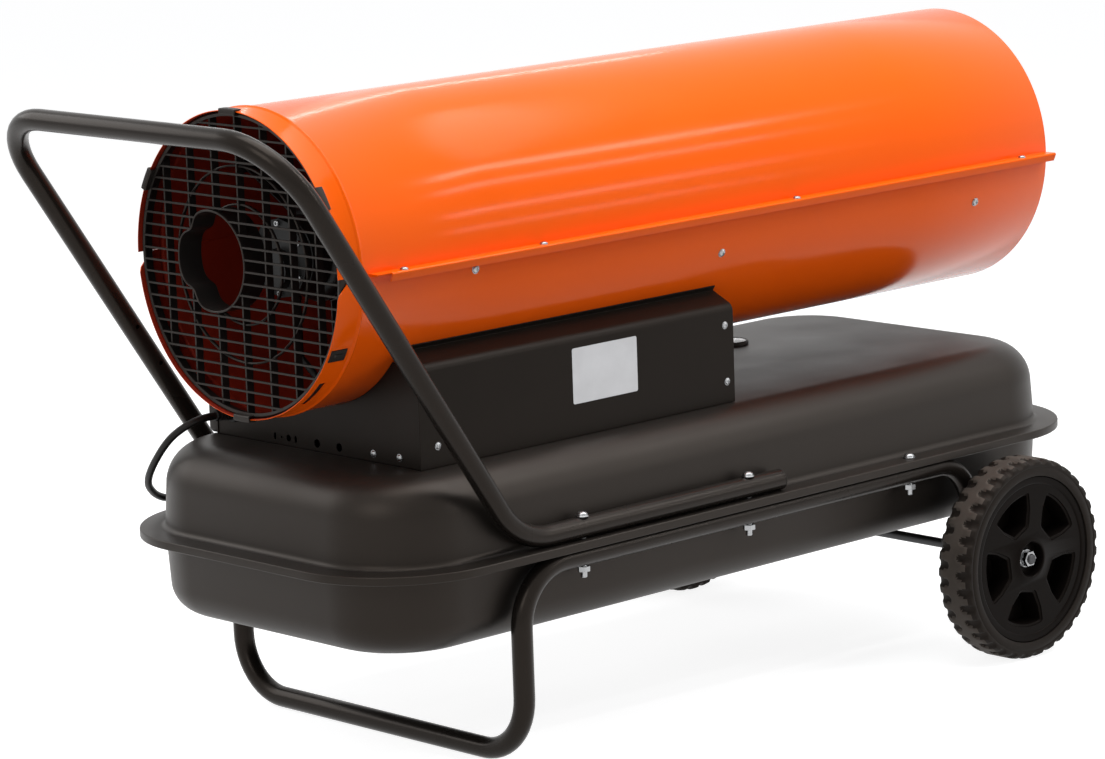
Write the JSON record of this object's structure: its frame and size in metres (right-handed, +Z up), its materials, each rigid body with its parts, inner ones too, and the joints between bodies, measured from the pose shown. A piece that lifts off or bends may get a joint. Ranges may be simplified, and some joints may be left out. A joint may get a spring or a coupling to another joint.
{
  "type": "diesel forced air heater",
  "caption": "Wheeled diesel space heater: a round orange casing with fan, burner and chamber on a black fuel tank, with a tube handle, foot frame and rubber-tyred wheels.",
  "frame": {"origin": "centre of the footprint of the standing machine, cord left out, on the floor", "axes": "+X from the air inlet and handle end to the hot outlet and wheel end, level with the floor; +Y to the side of the controls; +Z up. The casing's own axis rises 1.5 degrees towards +X."},
  "size_m": [1.3722, 0.7596, 0.7864],
  "materials": {
    "casing": "gloss orange powder coat",
    "tank": "fine-textured satin black powder coat",
    "frame": "satin black powder coat",
    "box": "satin black powder coat",
    "zinc": "zinc plated",
    "steel": "bare steel",
    "chamber": "heat-tinted steel",
    "chrome": "bright plated",
    "plastic": "fine-grained moulded plastic",
    "grille": "moulded heat-resistant plastic",
    "rim": "moulded plastic",
    "tyre": "solid rubber",
    "rubber": "smooth rubber",
    "aluminium": "cast and machined",
    "brass": "turned",
    "ceramic": "glazed ceramic",
    "board": "coated fibreglass board",
    "red": "gloss",
    "lens": "clear",
    "filter": "translucent nylon"
  },
  "bodies": {
    "machine": {"tank_lower_half": "tank", "tank_upper_half": "tank", "filler_neck": "steel", "fuel_gauge_case": "chrome", "fuel_gauge_lens": "lens", "handle": "frame", "foot_frame": "frame", "axle": "zinc", "handle_end_plug_near": "plastic", "axle_nut_near": "zinc", "flange_bolt_near_1": "zinc", "flange_bolt_near_2": "zinc", "flange_bolt_near_3": "zinc", "handle_end_plug_far": "plastic", "axle_nut_far": "zinc", "flange_bolt_far_1": "zinc", "flange_bolt_far_2": "zinc", "flange_bolt_far_3": "zinc", "casing_lower": "casing", "casing_upper": "casing", "inlet_grille": "grille", "motor_bracket": "steel", "motor_body": "aluminium", "pump_body": "aluminium", "pump_cover": "aluminium", "combustion_chamber": "chamber", "chamber_rear_head": "chamber", "flame_target": "chamber", "chamber_saddle_front": "steel", "chamber_saddle_rear": "steel", "burner_head": "steel", "burner_nozzle": "brass", "spark_electrodes": "ceramic", "flame_sensor": "plastic", "saddle_base": "box", "near_side_cover": "box", "far_side_cover": "box", "control_console": "plastic", "power_switch_body": "plastic", "thermostat_body": "plastic", "ignition_transformer": "plastic", "control_board": "board", "fuel_filter": "filter", "fuel_hose": "rubber", "air_hose": "rubber", "cord_gland": "rubber", "power_cord": "rubber", "cord_coil": "rubber", "power_plug": "rubber"},
    "fan_rotor": {"motor_shaft": "steel", "fan": "aluminium", "pump_rotor": "plastic"},
    "wheel_near": {"wheel_rim_near": "rim", "tyre_near": "tyre"},
    "wheel_far": {"wheel_rim_far": "rim", "tyre_far": "tyre"},
    "cap": {"filler_cap": "plastic"},
    "needle": {"fuel_gauge_needle": "red"},
    "rocker": {"power_switch_rocker": "red"},
    "knob": {"thermostat_knob": "plastic"}
  },
  "joints": [
    {"name": "wheel_near_spin", "type": "hinge", "parent": "machine", "child": "wheel_near", "pos_m": [0.48182, -0.2976, 0.12699], "axis": [0, 1, 0], "continuous": true},
    {"name": "wheel_far_spin", "type": "hinge", "parent": "machine", "child": "wheel_far", "pos_m": [0.48182, 0.2976, 0.12699], "axis": [0, 1, 0], "continuous": true},
    {"name": "fan_spin", "type": "hinge", "parent": "machine", "child": "fan_rotor", "pos_m": [-0.28862, 0, 0.58415], "axis": [0.9996, 0, 0.0266], "continuous": true},
    {"name": "cap_lift", "type": "slide", "parent": "machine", "child": "cap", "axis": [-0.0266, 0, 0.9996], "range_m": [0, 0.03]},
    {"name": "needle_swing", "type": "hinge", "parent": "machine", "child": "needle", "pos_m": [0.3702, 0.095, 0.37411], "axis": [-0.0266, 0, 0.9996], "range_deg": [0, 100]},
    {"name": "rocker_tilt", "type": "hinge", "parent": "machine", "child": "rocker", "pos_m": [-0.29914, 0.19563, 0.41561], "axis": [0.9996, 0, 0.0266], "range_deg": [0, 14]},
    {"name": "knob_turn", "type": "hinge", "parent": "machine", "child": "knob", "pos_m": [-0.36212, 0.198, 0.41393], "axis": [0, 1, 0], "range_deg": [0, 270]}
  ]
}
